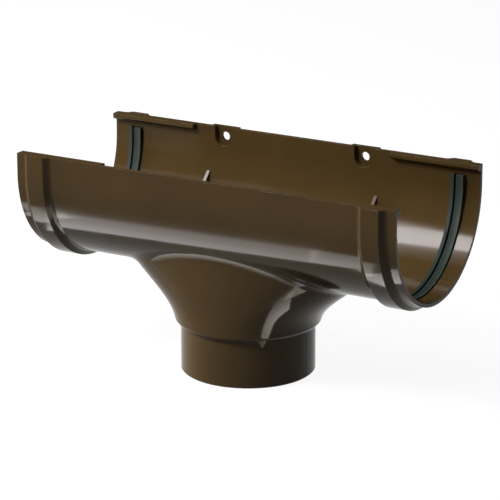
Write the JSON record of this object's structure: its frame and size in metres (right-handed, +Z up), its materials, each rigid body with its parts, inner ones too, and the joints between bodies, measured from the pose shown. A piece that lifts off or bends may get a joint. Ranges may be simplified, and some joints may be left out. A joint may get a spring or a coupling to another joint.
{
  "type": "gutter outlet",
  "caption": "Half-round gutter outlet moulded in dark brown plastic, with a round spigot below, snap-in lips, fascia screw points and a rubber seal at each end.",
  "frame": {"origin": "centre of the spigot's lower end, on the surface it stands on", "axes": "+X along the gutter, +Y towards the fascia, +Z up"},
  "size_m": [0.279, 0.1344, 0.1445],
  "materials": {
    "brown_plastic": "gloss, dark brown",
    "seal_rubber": "satin, dark grey-green"
  },
  "bodies": {
    "root": {"outlet_body": "brown_plastic", "seal_left": "seal_rubber", "seal_right": "seal_rubber"}
  },
  "joints": []
}
